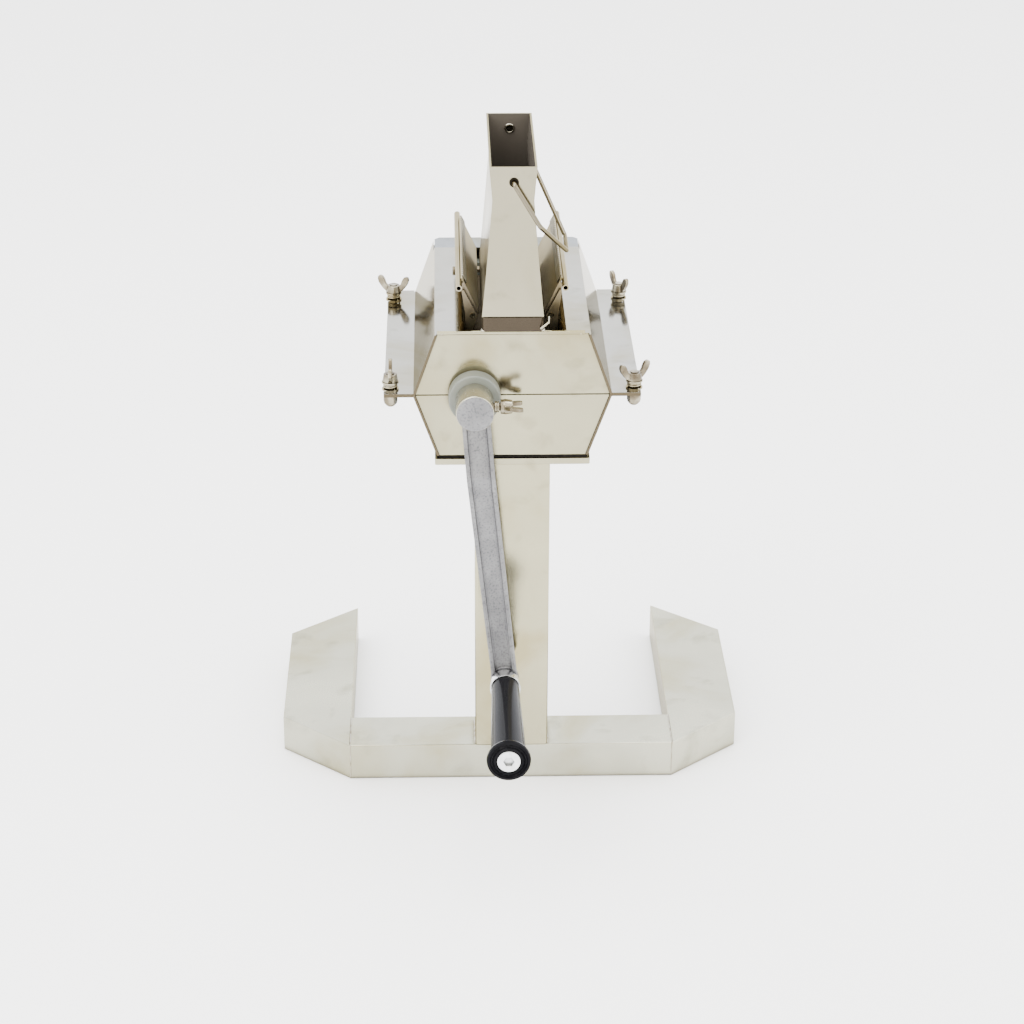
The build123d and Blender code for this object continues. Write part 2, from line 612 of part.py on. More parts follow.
def guide_plate():
    """Leaning plate that steers the comb into the slot."""
    return guide_strip(0, GUIDE_SLANT, -HALF_T, HALF_T, GUIDE_FRONT, GUIDE_REAR)


def comb_strip():
    """Toothed strip along the guide's top edge."""
    root = GUIDE_SLANT - 2.0
    spine = guide_strip(root - 3.5, root, -HALF_T - COMB_T, -HALF_T, GUIDE_FRONT, GUIDE_REAR)
    pitch = (GUIDE_REAR - GUIDE_FRONT) / TEETH
    for index in range(TEETH):
        d = GUIDE_FRONT + pitch * (index + 0.5)
        tooth = guide_strip(root, root + TOOTH_H, -HALF_T - COMB_T, -HALF_T, d - TOOTH_W / 2, d + TOOTH_W / 2)
        spine = spine + tooth
    return spine


def guide_rod():
    """Thin tube along the outside of the guide's top edge."""
    x, z = guide_point(GUIDE_SLANT - ROD_DROP, HALF_T + ROD_R)
    return disc(x, z, ROD_R, ROD_FRONT, ROD_REAR) - disc(x, z, ROD_R - 0.8, ROD_FRONT - 1, ROD_REAR + 1)


def guide_straps():
    """End cheeks that join the plate and its tube to the hinge pins."""
    low = GUIDE_Z - 3.2
    outline = [
        (28.0, low), (34.0, low), (36.0, GUIDE_Z + 3), guide_point(26, HALF_T + 2), guide_point(28, -HALF_T),
        guide_point(0, -HALF_T),
    ]
    rod_x, rod_z = guide_point(GUIDE_SLANT - ROD_DROP, HALF_T + ROD_R)
    straps = []
    for d in (GUIDE_FRONT - THIN, GUIDE_REAR):
        strap = plate_xz(outline, d, d + THIN) - disc(rod_x, rod_z, ROD_R, d - 1, d + 3)
        straps.append(strap - disc(GUIDE_X, GUIDE_Z, GUIDE_PIN_R + RUNNING, d - 1, d + 3))
    return group(straps)


BRACKET_T = 3.0


def guide_brackets():
    """Four upright lugs at the slot edges that hold the guides' pins."""
    outline = [(36.6, 387.5), (31.3, 387.5), (26.8, 401.0), (37.6, 422.3), (39.4, 420.8), (36.6, 402.0)]
    lugs = []
    for d in (GUIDE_FRONT - 5.0, GUIDE_REAR + 2.0):
        lug = plate_xz(outline, d, d + BRACKET_T) - disc(GUIDE_X, GUIDE_Z, GUIDE_PIN_R, d - 1, d + 4)
        lugs += [lug, flip(lug)]
    return group(lugs)


def guide_pins():
    """Four short hinge pins of the guides."""
    pins = []
    for d0, d1 in ((GUIDE_FRONT - 5.6, GUIDE_FRONT + 1), (GUIDE_REAR - 1, GUIDE_REAR + 5.6)):
        pin = disc(GUIDE_X, GUIDE_Z, GUIDE_PIN_R, d0, d1)
        pins += [pin, flip(pin)]
    return group(pins)


# ---- all nodes ----------------------------------------------------------
def main():
    """Make every node and write it to parts."""
    mirrored_pairs = {
        "base_{}_outrigger": outrigger(),
        "lower_{}_shell": lower_shell(),
        "upper_{}_shell": upper_shell(),
        "{}_scraper": scraper(),
        "{}_guide_plate": guide_plate(),
        "{}_guide_rod": guide_rod(),
        "{}_comb_strip": comb_strip(),
        "{}_guide_straps": guide_straps(),
    }
    for name, shape in mirrored_pairs.items():
        save(name.format("right"), shape)
        save(name.format("left"), flip(shape))

    nodes = {
        "base_front_bar": tube_bar(),
        "column": column(),
        "mounting_plate": mounting_plate(),
        "mount_gasket": gasket(),
        "mounting_bolts": mounting_bolts(),
        "mounting_nuts": mounting_nuts(),
        "lower_front_plate": front_plate(HOUSE_BOTTOM, PARTING - SEAM),
        "lower_rear_plate": end_plate(HOUSE_BOTTOM, PARTING - SEAM, HOUSE_DEPTH - 1 - SHEET),
        "lower_floor": lower_floor(),
        "upper_front_plate": front_plate(PARTING + SEAM, HOUSE_TOP),
        "upper_rear_plate": end_plate(PARTING + SEAM, HOUSE_TOP - THIN, HOUSE_DEPTH - 1 - SHEET),
        "rear_cross_strip": rear_cross_strip(),
        "front_lip": front_lip(),
        "collar": collar(),
        "collar_cross_bar": collar_cross_bar(),
        "hopper_clip": hopper_clip(),
        "clamp_bolts": clamp_bolts(),
        "clamp_washers": clamp_washers(),
        "clamp_springs": stack(SPRING_Z, SPRING_Z + SPRING_L, 5.8),
        "front_bush": bush(),
        "front_bearing_plate": bearing_plate(4.5),
        "rear_bearing_plate": bearing_plate(196.0),
        "guide_brackets": guide_brackets(),
        "guide_pins": guide_pins(),
        "crank_shaft": crank_shaft(),
        "left_roller": roller(-ROLLER_X),
        "drive_gear": gear(-ROLLER_X, 0.0),
        "drive_gear_ring": retaining_ring(-ROLLER_X),
        "crank_arm": crank_arm(),
        "hub_wing_screw": hub_wing_screw(),
        "grip_bolt": grip_bolt(),
        "grip_ring": grip_ring(),
        "grip": grip(),
        "right_shaft": shaft(ROLLER_X, 5.0),
        "right_roller": roller(ROLLER_X),
        "driven_gear": gear(ROLLER_X, 180.0 / GEAR_TEETH),
        "driven_gear_ring": retaining_ring(ROLLER_X),
        "hopper": hopper(),
        "pivot_eyelets": pivot_eyelets(),
        "bail": bail(),
    }
    # two pairs of wings spread sideways, the other two are turned
    turns = {
        "front_left": (-1, 0, 90), "front_right": (1, 0, 28),
        "rear_left": (-1, 1, -15), "rear_right": (1, 1, -62),
    }
    for name, (side, row, turn) in turns.items():
        nodes[f"wing_nut_{name}"] = wing_nut(side * STUD_X, depth(STUD_DEPTHS[row]), NUT_Z, turn)
    for name, shape in nodes.items():
        save(name, shape)


main()
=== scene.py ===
import bmesh
import bpy
from math import cos, pi, radians, sin
from mathutils import Matrix, Vector, noise


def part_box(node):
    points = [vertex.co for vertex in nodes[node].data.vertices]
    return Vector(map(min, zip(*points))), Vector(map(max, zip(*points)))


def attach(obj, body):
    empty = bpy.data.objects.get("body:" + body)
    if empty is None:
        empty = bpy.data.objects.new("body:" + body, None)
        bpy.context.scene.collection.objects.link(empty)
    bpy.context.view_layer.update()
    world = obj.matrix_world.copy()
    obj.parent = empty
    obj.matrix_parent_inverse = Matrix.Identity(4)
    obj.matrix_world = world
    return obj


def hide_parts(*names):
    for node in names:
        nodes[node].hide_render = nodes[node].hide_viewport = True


# Hand-cranked honeycomb press: materials, cast and wire pieces, welds, studio and camera.
# Lengths are metres in the row frame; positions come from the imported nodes.

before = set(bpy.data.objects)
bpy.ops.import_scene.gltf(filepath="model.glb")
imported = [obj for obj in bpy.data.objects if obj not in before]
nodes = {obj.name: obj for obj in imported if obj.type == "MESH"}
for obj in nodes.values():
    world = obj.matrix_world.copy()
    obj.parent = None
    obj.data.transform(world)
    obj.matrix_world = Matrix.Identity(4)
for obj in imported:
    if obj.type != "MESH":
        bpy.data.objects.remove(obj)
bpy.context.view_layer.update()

MM = 0.001
AXIS_X, AXIS_Y, AXIS_Z = Vector((1, 0, 0)), Vector((0, 1, 0)), Vector((0, 0, 1))
CORNERS = ("front_left", "front_right", "rear_left", "rear_right")
COMB_TEETH = 31
WHITE = (1.0, 1.0, 1.0)
FULL_METAL, NO_METAL = 1.0, 0.0
FAINT_SHEEN = 1.05
SQUARE_ON = 0.7

# Cast pieces: how far their edges are rounded.
ARM_VOXEL, ARM_ROUNDS = 0.6 * MM, 3
NUT_VOXEL, NUT_ROUNDS = 0.32 * MM, 4

# Wire pieces.
WIRE_SIDES, CREST_SIDES = 8, 6
SPRING_STEPS, THREAD_STEPS, LIP_STEPS, RING_STEPS = 22, 16, 24, 20
SPRING_RADIUS, SPRING_WIRE, SPRING_TURNS = 5.0 * MM, 0.75 * MM, 2.0
LIP_RADIUS, LIP_WIRE, LIP_INSET = 3.3 * MM, 0.9 * MM, 2.9 * MM
THREAD_RADIUS, THREAD_CREST, THREAD_PITCH = 2.95 * MM, 0.36 * MM, 1.0 * MM
NUT_BODY = 5.0 * MM
RING_RADIUS, RING_WIRE, RING_PITCH, RINGS = 3.9 * MM, 0.55 * MM, 1.15 * MM, 3
HUB_WALL, FIRST_RING = 5.3 * MM, 0.6 * MM

# Weld beads: radius and first seed of each kind, then the step and swell along a bead.
SEAM_BEAD, FOOT_BEAD, COLLAR_BEAD, LIP_BEAD = 0.55 * MM, 1.3 * MM, 1.1 * MM, 1.2 * MM
FOOT_SEED, COLLAR_SEED, LIP_SEED = 7, 20, 30
BEAD_STEP, TAPER_STEPS, MEAN_SWELL = 0.8 * MM, 4, 0.85
WOBBLE, WOBBLE_RATE, RIPPLE, RIPPLE_RATE = 0.3, 0.23, 0.10, 1.9


def box_of(node):
    """Low and high corner of a node."""
    low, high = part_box(node)
    return Vector(low), Vector(high)


# ---- shader building ----------------------------------------------------
class Shader:
    """One principled material whose textures follow the object."""

    def __init__(self, name, metallic, roughness):
        self.material = bpy.data.materials.new(name)
        self.material.use_nodes = True
        self.tree = self.material.node_tree
        self.bsdf = self.tree.nodes["Principled BSDF"]
        self.bsdf.inputs["Metallic"].default_value = metallic
        self.bsdf.inputs["Roughness"].default_value = roughness
        self.place = self.add("ShaderNodeTexCoord").outputs["Object"]

    def add(self, kind, **settings):
        """A new node with its settings."""
        node = self.tree.nodes.new(kind)
        for key, value in settings.items():
            setattr(node, key, value)
        return node

    def link(self, source, target):
        """Join an output to an input."""
        self.tree.links.new(source, target)

    def feed(self, socket, value):
        """Link a socket to a node's output, or set it to a constant."""
        if isinstance(value, bpy.types.NodeSocket):
            self.link(value, socket)
        else:
            socket.default_value = value

    def noise(self, scale, stretch=(1, 1, 1), detail=4.0, distortion=0.0):
        """Noise value with a feature size set by scale and squeezed by stretch."""
        mapping = self.add("ShaderNodeMapping")
        mapping.inputs["Scale"].default_value = stretch
        self.link(self.place, mapping.inputs["Vector"])
        texture = self.add("ShaderNodeTexNoise")
        texture.inputs["Scale"].default_value = scale
        texture.inputs["Detail"].default_value = detail
        texture.inputs["Distortion"].default_value = distortion
        self.link(mapping.outputs["Vector"], texture.inputs["Vector"])
        return texture.outputs["Fac"]

    def ramp(self, value, stops):
        """Colour for a value, from (position, colour) stops."""
        node = self.add("ShaderNodeValToRGB")
        fill_ramp(node.color_ramp, stops)
        self.link(value, node.inputs["Fac"])
        return node.outputs["Color"]

    def span(self, value, low, high, start=0.3, end=0.7):
        """Value rescaled from start..end to low..high."""
        node = self.add("ShaderNodeMapRange")
        for name, number in (("From Min", start), ("From Max", end), ("To Min", low), ("To Max", high)):
            node.inputs[name].default_value = number
        self.link(value, node.inputs["Value"])
        return node.outputs["Result"]

    def math(self, operation, first, second=0.0):
        """Arithmetic on values or sockets."""
        node = self.add("ShaderNodeMath", operation=operation)
        self.feed(node.inputs[0], first)
        self.feed(node.inputs[1], second)
        return node.outputs["Value"]

    def vector(self, operation, first, second=(0, 0, 0), output="Vector"):
        """Arithmetic on vectors or sockets."""
        node = self.add("ShaderNodeVectorMath", operation=operation)
        self.feed(node.inputs[0], first)
        self.feed(node.inputs[1], second)
        return node.outputs[output]

    def part(self, vector, axis):
        """One component of a vector socket."""
        split = self.add("ShaderNodeSeparateXYZ")
        self.link(vector, split.inputs["Vector"])
        return split.outputs[axis]

    def face(self):
        """Direction in which the bare face looks."""
        return self.add("ShaderNodeNewGeometry").outputs["True Normal"]

    def endwise(self):
        """How squarely a face looks along the press, from 0 to 1."""
        return self.math("ABSOLUTE", self.part(self.face(), "Y"))

    def mix(self, factor, first, second, blend="MIX"):
        """Blend of two colours."""
        node = self.add("ShaderNodeMix", data_type="RGBA", blend_type=blend)
        self.feed(node.inputs[0], factor)
        for socket, colour in ((node.inputs[6], first), (node.inputs[7], second)):
            self.feed(socket, (*colour, 1.0) if isinstance(colour, tuple) else colour)
        return node.outputs[2]

    def colour(self, socket):
        """Use a colour for the surface."""
        self.link(socket, self.bsdf.inputs["Base Color"])

    def roughness(self, socket):
        """Use a value for how matt the surface is."""
        self.link(socket, self.bsdf.inputs["Roughness"])

    def stain(self, amount, colour):
        """Lay a colour over the present one by an amount."""
        clean = self.bsdf.inputs["Base Color"].links[0].from_socket
        self.colour(self.mix(amount, clean, colour))

    def dull(self, *masks):
        """Metal only where no mask lies; the masked parts have hardly any sheen."""
        metal = self.math("SUBTRACT", 1.0, masks[0])
        for mask in masks[1:]:
            metal = self.math("MULTIPLY", metal, self.math("SUBTRACT", 1.0, mask))
        self.link(metal, self.bsdf.inputs["Metallic"])
        self.bsdf.inputs["IOR"].default_value = FAINT_SHEEN

    def painted_corner_shade(self, distance, depth, dark=(0.035, 0.028, 0.018), start=0.3, end=0.85):
        """Painted shade: darker colour where other surfaces crowd this one within a distance."""
        node = self.add("ShaderNodeAmbientOcclusion", samples=6)
        node.inputs["Distance"].default_value = distance
        self.stain(self.span(node.outputs["AO"], depth, 0.0, start, end), dark)

    def bump(self, layers, edge=0.0):
        """Relief from (height, strength, distance) layers over softly rounded edges."""
        normal = None
        if edge:
            bevel = self.add("ShaderNodeBevel", samples=4)
            bevel.inputs["Radius"].default_value = edge
            normal = bevel.outputs["Normal"]
        for height, strength, distance in layers:
            node = self.add("ShaderNodeBump")
            node.inputs["Strength"].default_value = strength
            node.inputs["Distance"].default_value = distance
            self.link(height, node.inputs["Height"])
            if normal:
                self.link(normal, node.inputs["Normal"])
            normal = node.outputs["Normal"]
        self.link(normal, self.bsdf.inputs["Normal"])


def fill_ramp(ramp, stops):
    """Set a colour ramp to (position, colour) stops."""
    while len(ramp.elements) < len(stops):
        ramp.elements.new(0.5)
    for element, (position, colour) in zip(ramp.elements, stops):
        element.position = position
        element.color = (*colour, 1.0)


def scaled(tint, red, green, blue):
    """Tint with each channel multiplied."""
    return (tint[0] * red, tint[1] * green, tint[2] * blue)


# ---- stainless steel ----------------------------------------------------
def steel(name, tint, polish, grain=(1, 1, 1), lines=0.05, wave=0.25, edge=0.6 * MM,
          graze=(0.62, 0.58, 0.48)):
    """Stainless steel: cloudy polish, fine grinding lines, wavy surface and its tint at grazing angles."""
    shader = Shader(name, FULL_METAL, polish[0])
    shader.bsdf.inputs["Specular Tint"].default_value = (*graze, 1.0)
    clouds = shader.noise(11.0, detail=5.0, distortion=0.5)
    stains = shader.noise(34.0, detail=5.0, distortion=0.3)
    scratches = shader.noise(420.0, stretch=grain, detail=3.0)
    warm, pale = scaled(tint, 0.84, 0.80, 0.68), scaled(tint, 1.12, 1.12, 1.12)
    tone = shader.ramp(clouds, [(0.34, warm), (0.5, tint), (0.66, pale)])
    spots = shader.ramp(stains, [(0.26, scaled(tint, 0.86, 0.86, 0.86)), (0.42, WHITE), (0.8, WHITE)])
    shader.colour(shader.mix(0.35, tone, spots, "MULTIPLY"))
    haze = shader.span(clouds, *polish)
    shader.roughness(shader.math("ADD", haze, shader.span(scratches, -0.03, 0.05)))
    dents = shader.noise(7.0, detail=1.0)
    shader.bump([(dents, wave, 2.0 * MM), (scratches, lines, 0.2 * MM)], edge)
    return shader


def front_sheet():
    """End plates and mounting plate: satin, ground across, with painted shade along the seams."""
    shader = steel("steel_front_sheet", (0.325, 0.303, 0.205), (0.08, 0.19), (1, 1, 14))
    shader.painted_corner_shade(5.0 * MM, 0.7, (0.08, 0.065, 0.04), 0.5, 0.9)
    return shader


def tube_corner_shade(shader):
    """Painted brown shade in the corners of a square tube, at its welds."""
    shader.painted_corner_shade(5.0 * MM, 0.75, (0.10, 0.085, 0.05), 0.5, 0.9)


def base_tube():
    """Square tube of the feet."""
    shader = steel("steel_base_tube", (0.40, 0.395, 0.32), (0.14, 0.28), (10, 1, 10), 0.06, 0.3)
    tube_corner_shade(shader)
    return shader


def column_tube():
    """Brighter square tube of the column."""
    shader = steel("steel_column_tube", (0.355, 0.33, 0.22), (0.06, 0.15), (10, 10, 1), 0.05, 0.2)
    tube_corner_shade(shader)
    return shader


def inner_sheet():
    """Rear plates, floor and scrapers."""
    shader = steel("steel_inner_sheet", (0.44, 0.43, 0.40), (0.2, 0.35), (1, 8, 1))
    # Painted shade in the corners of the rear plates, floor and scrapers.
    shader.painted_corner_shade(4.0 * MM, 0.8)
    return shader


def flank_sheet():
    """Mirror-bright lower shell."""
    shader = steel("steel_mirror_sheet", (0.265, 0.295, 0.345), (0.05, 0.13), (6, 1, 1), 0.02, 0.12)
    seam_rim(shader)
    return shader


def upper_shell():
    """Mirror-bright upper shell with a painted dark reflection along the slot edge."""
    shader = steel("steel_upper_shell", (0.345, 0.35, 0.35), (0.05, 0.13), (6, 1, 1), 0.02, 0.12)
    slot_edge(shader)
    seam_rim(shader)
    return shader


def collar_sheet():
    """Collar round the hopper's foot, dark, with near-black ledges and side walls."""
    shader = steel("steel_collar", (0.045, 0.036, 0.026), (0.16, 0.30), (1, 1, 10), graze=(0.16, 0.14, 0.10))
    above_everything = 1.0
    shader.dull(dark_sides_below(shader, above_everything))
    return shader


def guide_sheet():
    """Leaning guide plates: dull, honey-brown steel."""
    shader = steel("steel_guide_plate", (0.33, 0.285, 0.18), (0.46, 0.58), (1, 12, 1), 0.06,
                   graze=(0.10, 0.085, 0.055))
    shader.bsdf.inputs["Metallic"].default_value = 0.5
    return shader


def comb_strip():
    """Toothed strip with light teeth and painted shade in the gaps between them."""
    shader = steel("steel_comb_edge", (0.36, 0.335, 0.27), (0.4, 0.6))
    low, high = box_of("left_comb_strip")
    pitch = (high.y - low.y) / COMB_TEETH
    along = shader.math("SUBTRACT", shader.part(shader.place, "Y"), low.y + pitch / 4)
    wave = shader.math("SINE", shader.math("MULTIPLY", along, 2 * pi / pitch))
    # Dark stripes between the teeth are painted shade, carried onto the spine as well.
    shader.stain(shader.span(wave, 0.97, 0.0, -0.3, 0.3), (0.02, 0.017, 0.010))
    shader.bsdf.inputs["Metallic"].default_value = NO_METAL
    shader.bsdf.inputs["IOR"].default_value = FAINT_SHEEN
    return shader


def hopper_sheet():
    """Steel outside; painted shade inside, where the faces look into the chute, and dark at the foot."""
    shader = steel("steel_hopper", (0.285, 0.262, 0.185), (0.10, 0.21), (10, 10, 1), 0.05, 0.3)
    low, high = box_of("hopper")
    offset = shader.vector("SUBTRACT", shader.place, (low + high) / 2)
    outward = shader.vector("MULTIPLY", offset, (1, 1, 0))
    facing = shader.vector("DOT_PRODUCT", outward, shader.face(), "Value")
    looks_inward, collar_depth = -3.0 * MM, 14.0 * MM
    # Faces that look into the chute get a dark, non-metal colour: painted shade inside the chute.
    inside = shader.math("LESS_THAN", facing, looks_inward)
    shader.stain(inside, (0.075, 0.066, 0.055))
    shader.dull(inside, dark_sides_below(shader, low.z + collar_depth))
    return shader


def seam_rim(shader):
    """Cut edge of a bent sheet, brown from the weld that joins it to the end plate."""
    rim = shader.math("GREATER_THAN", shader.endwise(), SQUARE_ON)
    shader.stain(rim, (0.085, 0.068, 0.042))


def slot_edge(shader):
    """Rolled slot edge of the upper shells, painted with a dark brown reflection of the slot's inside."""
    slot_side = box_of("upper_right_shell")[0].x
    brown_end, unpainted_start = 4.2 * MM, 5.4 * MM
    across = shader.math("ABSOLUTE", shader.part(shader.place, "X"))
    edge = shader.span(across, 1.0, 0.0, slot_side + brown_end, slot_side + unpainted_start)
    # Brown band along the slot edge: a painted dark reflection of the slot's inside.
    shader.stain(edge, (0.12, 0.095, 0.065))


def dark_sides_below(shader, top):
    """Near-black colour on ledges and side walls, fading out above a height; its mask is returned."""
    fade = 26.0 * MM
    below = shader.span(shader.part(shader.place, "Z"), 1.0, 0.0, top, top + fade)
    sideways = shader.math("LESS_THAN", shader.endwise(), SQUARE_ON)
    stained = shader.math("MULTIPLY", below, sideways)
    shader.stain(stained, (0.02, 0.016, 0.010))
    return stained


# ---- cast, turned and plated metal --------------------------------------
def cast_nut():
    """Cast stainless of the wing nuts: painted shade in the corners, polish on the high spots."""
    shader = Shader("steel_cast_nut", FULL_METAL, 0.3)
    skin = shader.noise(330.0, detail=5.0)
    patches = shader.noise(90.0, detail=3.0)
    stops = [(0.3, (0.08, 0.062, 0.040)), (0.5, (0.17, 0.145, 0.10)), (0.7, (0.36, 0.33, 0.25))]
    shader.colour(shader.ramp(patches, stops))
    shader.painted_corner_shade(2.5 * MM, 0.95)
    shader.roughness(shader.span(patches, 0.30, 0.14))
    shader.bump([(skin, 0.25, 0.3 * MM)])
    return shader


def cast_arm():
    """Sand-cast aluminium of the crank arm, with a machined hub."""
    shader = Shader("aluminium_cast_arm", 0.9, 0.45)
    sand = shader.noise(620.0, detail=6.0)
    blotch = shader.noise(60.0, detail=4.0)
    scuffs = shader.noise(120.0, stretch=(8, 1, 1), detail=3.0)
    stops = [(0.3, (0.15, 0.15, 0.155)), (0.55, (0.19, 0.19, 0.195)), (0.75, (0.25, 0.25, 0.25))]
    speckle = shader.ramp(sand, [(0.34, (0.5, 0.5, 0.52)), (0.5, WHITE), (0.72, WHITE)])
    shader.colour(shader.mix(0.7, shader.ramp(blotch, stops), speckle, "MULTIPLY"))
    # Painted shade in the grooves beside the ribs and in the other corners of the arm.
    shader.painted_corner_shade(2.5 * MM, 0.95, (0.035, 0.035, 0.04), 0.5, 0.97)
    shader.roughness(shader.span(scuffs, 0.36, 0.52))
    shader.bump([(blotch, 0.2, 0.6 * MM), (sand, 0.35, 0.25 * MM)])
    machined_hub(shader)
    return shader


def machined_hub(shader):
    """Brighter and smoother turned side of the arm's hub, between two radii."""
    low, high = box_of("crank_shaft")
    centre = ((low.x + high.x) / 2, 0.0, (low.z + high.z) / 2)
    offset = shader.vector("SUBTRACT", shader.place, centre)
    radial = shader.vector("MULTIPLY", offset, (1, 0, 1))
    radius = shader.vector("LENGTH", radial, output="Value")
    inner, outer, smoother = 14.3 * MM, 15.6 * MM, 0.24
    near = shader.math("LESS_THAN", radius, outer)
    side = shader.math("MULTIPLY", near, shader.math("GREATER_THAN", radius, inner))
    shader.stain(side, (0.36, 0.345, 0.265))
    rough = shader.bsdf.inputs["Roughness"].links[0].from_socket
    shader.roughness(shader.math("SUBTRACT", rough, shader.math("MULTIPLY", side, smoother)))


def mottled(shader, pattern, stops, polish, relief, edge=0.0):
    """Colour and gloss that follow one noise pattern, under a (height, strength, distance) relief."""
    shader.colour(shader.ramp(pattern, stops))
    shader.roughness(shader.span(pattern, *polish))
    shader.bump([relief], edge)


def turned_steel():
    """Shafts and gears with fine turning rings."""
    shader = Shader("steel_turned", FULL_METAL, 0.25)
    rings = shader.noise(700.0, stretch=(1, 12, 1), detail=2.0)
    stops = [(0.3, (0.34, 0.33, 0.31)), (0.7, (0.46, 0.45, 0.42))]
    mottled(shader, rings, stops, (0.2, 0.34), (rings, 0.12, 0.2 * MM), 0.4 * MM)
    return shader


def plated_screw():
    """Bright plated grip bolt and ring, with painted shade inside the socket."""
    shader = Shader("bright_plated_screw", FULL_METAL, 0.14)
    haze = shader.noise(260.0, detail=4.0)
    stops = [(0.3, (0.62, 0.63, 0.64)), (0.7, (0.78, 0.79, 0.80))]
    mottled(shader, haze, stops, (0.12, 0.24), (haze, 0.06, 0.2 * MM), 0.4 * MM)
    shader.painted_corner_shade(5.0 * MM, 0.9, (0.12, 0.13, 0.13))
    return shader


def weld_metal():
    """Weld bead, straw-coloured in places."""
    shader = Shader("weld_bead", FULL_METAL, 0.3)
    heat = shader.noise(160.0, detail=4.0)
    stops = [(0.3, (0.22, 0.18, 0.12)), (0.5, (0.38, 0.35, 0.28)), (0.7, (0.50, 0.48, 0.43))]
    mottled(shader, heat, stops, (0.22, 0.42), (heat, 0.3, 0.4 * MM))
    return shader


# ---- plastic and rubber -------------------------------------------------
def bush_plastic():
    """Greyish white food plastic of the bush and the bearing plates."""
    shader = Shader("white_food_plastic", NO_METAL, 0.42)
    milk = shader.noise(45.0, detail=4.0)
    grain = shader.noise(900.0, detail=2.0)
    stops = [(0.3, (0.115, 0.128, 0.110)), (0.7, (0.145, 0.152, 0.130))]
    mottled(shader, milk, stops, (0.36, 0.5), (grain, 0.08, 0.2 * MM), 0.5 * MM)
    shader.bsdf.inputs["Subsurface Weight"].default_value = 0.15
    shader.bsdf.inputs["Subsurface Radius"].default_value = (4.0 * MM, 4.0 * MM, 3.5 * MM)
    return shader


def roller_plastic():
    """Rollers painted dark as painted shade in the gap beside the hopper."""
    shader = Shader("shade_dark_roller_plastic", NO_METAL, 0.4)
    wax = shader.noise(70.0, detail=5.0)
    stops = [(0.3, (0.025, 0.020, 0.012)), (0.7, (0.05, 0.041, 0.027))]
    mottled(shader, wax, stops, (0.6, 0.8), (wax, 0.15, 0.3 * MM))
    shader.bsdf.inputs["IOR"].default_value = FAINT_SHEEN
    return shader


def grip_gloss():
    """Glossy black grip with smears."""
    shader = Shader("black_gloss_grip", NO_METAL, 0.12)
    smear = shader.noise(30.0, stretch=(1, 0.3, 1), detail=5.0, distortion=0.8)
    pits = shader.noise(600.0, detail=3.0)
    stops = [(0.3, (0.003, 0.003, 0.004)), (0.7, (0.008, 0.008, 0.009))]
    mottled(shader, smear, stops, (0.09, 0.2), (pits, 0.04, 0.2 * MM))
    shader.bsdf.inputs["IOR"].default_value = 1.10
    return shader


def gasket_rubber():
    """Dusty black sealing pad."""
    shader = Shader("dark_gasket_rubber", NO_METAL, 0.8)
    dust = shader.noise(240.0, detail=6.0)
    stops = [(0.3, (0.005, 0.0045, 0.004)), (0.7, (0.014, 0.012, 0.010))]
    mottled(shader, dust, stops, (0.7, 0.9), (dust, 0.3, 0.4 * MM))
    shader.bsdf.inputs["IOR"].default_value = 1.15
    return shader


# ---- painting -----------------------------------------------------------
def wire(name, tint, polish):
    """Steel wire or thin tube, without rounded sheet edges."""
    return steel(name, tint, polish, lines=0.08, wave=0.1, edge=0.0)


def make_materials():
    """Every material of the press, by purpose."""
    return {
        "front": front_sheet(),
        "collar": collar_sheet(),
        "flank": flank_sheet(),
        "shell": upper_shell(),
        "guide": guide_sheet(),
        "base": base_tube(),
        "column": column_tube(),
        "plain": inner_sheet(),
        "inner": steel("steel_honey_stained", (0.19, 0.16, 0.11), (0.3, 0.46), (1, 8, 1)),
        "comb": comb_strip(),
        # Near-black eyelets: painted shade in the bail holes.
        "dark": steel("steel_painted_hole_shade", (0.012, 0.010, 0.007), (0.3, 0.5), graze=(0.02, 0.017, 0.012)),
        "wire": wire("steel_wire", (0.30, 0.27, 0.20), (0.12, 0.26)),
        "bail": wire("steel_bail_wire", (0.15, 0.132, 0.095), (0.10, 0.22)),
        "clip": wire("steel_clip_wire", (0.36, 0.34, 0.28), (0.12, 0.26)),
        "nut": cast_nut(),
        "arm": cast_arm(),
        "turned": turned_steel(),
        "bright": plated_screw(),
        "white": bush_plastic(),
        "roller": roller_plastic(),
        "black": grip_gloss(),
        "rubber": gasket_rubber(),
        "weld": weld_metal(),
        "hopper": hopper_sheet(),
    }


def paint(obj, shader):
    """One material all over an object."""
    obj.data.materials.clear()
    obj.data.materials.append(shader.material)


